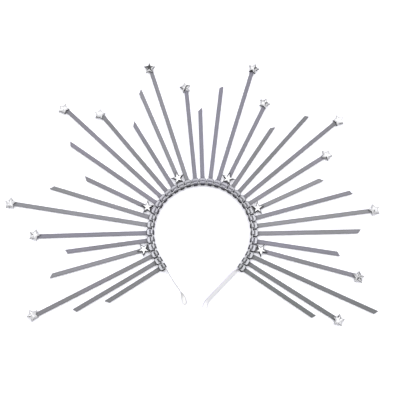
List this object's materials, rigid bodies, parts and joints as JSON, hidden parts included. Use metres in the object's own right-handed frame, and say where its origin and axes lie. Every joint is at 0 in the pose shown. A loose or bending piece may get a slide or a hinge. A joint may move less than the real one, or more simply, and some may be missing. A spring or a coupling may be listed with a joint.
{
  "type": "halo crown",
  "caption": "Halo crown: cable ties cinched side by side round a thin metal headband, their tails fanned out as rays, with faceted star gems at the roots and tips.",
  "frame": {"origin": "centre of the headband's round arch, on the plane that the noses of the tie heads rest on", "axes": "+Z out of the crown's face, away from the plane that it lies on; +Y to the top of the crown; +X to the right of its face"},
  "size_m": [0.4441, 0.3218, 0.0109],
  "materials": {
    "headband_metal": "bright plated thin strip",
    "strap_nylon": "satin silver-grey nylon",
    "star_gem": "cut gem with a silver mirror backing"
  },
  "bodies": {
    "root": {"headband": "headband_metal", "tie_01": "strap_nylon", "tie_02": "strap_nylon", "tie_03": "strap_nylon", "tie_04": "strap_nylon", "tie_05": "strap_nylon", "tie_06": "strap_nylon", "tie_07": "strap_nylon", "tie_08": "strap_nylon", "tie_09": "strap_nylon", "tie_10": "strap_nylon", "tie_11": "strap_nylon", "tie_12": "strap_nylon", "tie_13": "strap_nylon", "tie_14": "strap_nylon", "tie_15": "strap_nylon", "tie_16": "strap_nylon", "tie_17": "strap_nylon", "tie_18": "strap_nylon", "tie_19": "strap_nylon", "tie_20": "strap_nylon", "tie_21": "strap_nylon", "tie_22": "strap_nylon", "tie_23": "strap_nylon", "tie_24": "strap_nylon", "tie_25": "strap_nylon", "tie_26": "strap_nylon", "tie_27": "strap_nylon", "tie_28": "strap_nylon", "tie_29": "strap_nylon", "tie_30": "strap_nylon", "tie_31": "strap_nylon", "tie_32": "strap_nylon", "tie_33": "strap_nylon", "tip_star_01": "star_gem", "tip_star_02": "star_gem", "tip_star_03": "star_gem", "tip_star_04": "star_gem", "tip_star_05": "star_gem", "tip_star_06": "star_gem", "tip_star_07": "star_gem", "tip_star_08": "star_gem", "tip_star_09": "star_gem", "tip_star_10": "star_gem", "tip_star_11": "star_gem", "tip_star_12": "star_gem", "tip_star_13": "star_gem", "tip_star_14": "star_gem", "root_star_1": "star_gem", "root_star_2": "star_gem", "root_star_3": "star_gem", "root_star_4": "star_gem", "root_star_5": "star_gem", "root_star_6": "star_gem"}
  },
  "joints": []
}
